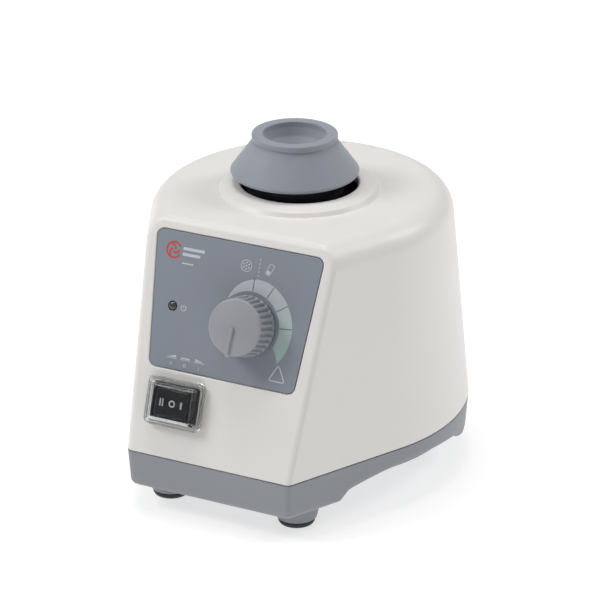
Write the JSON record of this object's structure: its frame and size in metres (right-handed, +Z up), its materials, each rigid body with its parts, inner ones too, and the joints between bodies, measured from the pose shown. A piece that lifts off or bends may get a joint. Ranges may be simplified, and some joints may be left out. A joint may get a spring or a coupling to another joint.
{
  "type": "vortex mixer",
  "caption": "Benchtop vortex mixer: round-backed casing with a sloped control face, and a rubber cup on a sprung, orbiting drive that starts when the cup is pressed.",
  "frame": {"origin": "middle of the footprint on the bench, under the feet", "axes": "+X to the right of someone facing the controls, +Y to the rear, +Z up; the control face is on the -Y side"},
  "size_m": [0.1268, 0.1454, 0.13],
  "materials": {
    "cover_plastic": "warm white moulded ABS, satin gloss",
    "base_plastic": "mid grey moulded ABS, fine texture",
    "panel_film": "grey printed polycarbonate film",
    "knob_plastic": "grey moulded ABS, satin",
    "cup_rubber": "blue-grey moulded rubber, matte",
    "foot_rubber": "black moulded rubber",
    "seal_rubber": "black moulded rubber",
    "black_plastic": "black moulded nylon, semi gloss",
    "clear_cover": "clear soft PVC, glossy",
    "lamp_lens": "dark red moulded lens, unlit",
    "plunger_plastic": "red moulded acetal",
    "steel": "zinc plated steel",
    "spring_steel": "drawn spring wire",
    "core_steel": "stacked electrical steel",
    "ballast_iron": "cast iron, painted dark",
    "aluminium": "die-cast aluminium",
    "winding_copper": "enamelled copper wire",
    "board_laminate": "green solder mask",
    "capacitor_sleeve": "dark sleeve"
  },
  "bodies": {
    "casing": {"upper_cover": "cover_plastic", "base_tray": "base_plastic", "front_panel": "panel_film", "foot_1": "foot_rubber", "foot_2": "foot_rubber", "foot_3": "foot_rubber", "foot_4": "foot_rubber", "case_screw_1": "steel", "case_screw_2": "steel", "case_screw_3": "steel", "case_screw_4": "steel", "speed_control": "steel", "power_light": "lamp_lens", "switch_housing": "black_plastic", "switch_boot": "clear_cover", "power_inlet": "black_plastic", "ballast_plate": "ballast_iron", "touch_switch": "black_plastic", "guide_post_1": "steel", "guide_post_2": "steel", "guide_post_3": "steel", "press_spring_1": "spring_steel", "press_spring_2": "spring_steel", "press_spring_3": "spring_steel", "splash_ring": "seal_rubber", "control_board": "board_laminate", "board_bracket": "aluminium", "board_capacitor": "capacitor_sleeve", "power_transistor": "black_plastic"},
    "drive": {"carriage_plate": "steel", "lower_end_shield": "aluminium", "upper_end_shield": "aluminium", "lower_bearing": "steel", "upper_bearing": "steel", "motor_stator": "core_steel", "lower_winding": "winding_copper", "upper_winding": "winding_copper"},
    "rotor": {"motor_rotor": "core_steel", "motor_shaft": "steel", "cooling_fan": "black_plastic", "eccentric_crank": "steel"},
    "head": {"head_bearing": "steel", "head_hub": "black_plastic", "cup_head": "cup_rubber"},
    "plunger": {"touch_plunger": "plunger_plastic"},
    "knob": {"speed_knob": "knob_plastic", "control_shaft": "steel"},
    "rocker": {"switch_rocker": "black_plastic"},
    "drawer": {"fuse_drawer": "black_plastic"}
  },
  "joints": [
    {"name": "cup_press", "type": "slide", "parent": "casing", "child": "drive", "axis": [0, 0, 1], "range_m": [-0.0015, 0], "stiffness_N_per_m": 5000, "springref_m": 0.006, "deforming": ["press_spring_1", "press_spring_2", "press_spring_3"]},
    {"name": "rotor_spin", "type": "hinge", "parent": "drive", "child": "rotor", "pos_m": [0, 0.00376, 0.0875], "axis": [0, 0, 1], "continuous": true},
    {"name": "head_orbit", "type": "hinge", "parent": "rotor", "child": "head", "pos_m": [-0.002, 0.00376, 0.1], "axis": [0, 0, 1], "continuous": true},
    {"name": "touch_plunger_travel", "type": "slide", "parent": "casing", "child": "plunger", "axis": [0, 0, 1], "range_m": [-0.0015, 0]},
    {"name": "speed_knob_turn", "type": "hinge", "parent": "casing", "child": "knob", "pos_m": [0.0078, -0.05353, 0.07593], "axis": [0, -0.9453, 0.3261], "range_deg": [-300, 0]},
    {"name": "switch_rocker_tilt", "type": "hinge", "parent": "casing", "child": "rocker", "pos_m": [-0.0162, -0.06464, 0.04464], "axis": [0, 0.3261, 0.9453], "range_deg": [-9, 9]},
    {"name": "fuse_drawer_slide", "type": "slide", "parent": "casing", "child": "drawer", "axis": [0, 0.9955, 0.0946], "range_m": [0, 0.01]}
  ],
  "couplings": [
    {"joint": "head_orbit", "follows": "rotor_spin", "ratio": -1},
    {"joint": "touch_plunger_travel", "follows": "cup_press", "ratio": 1}
  ]
}
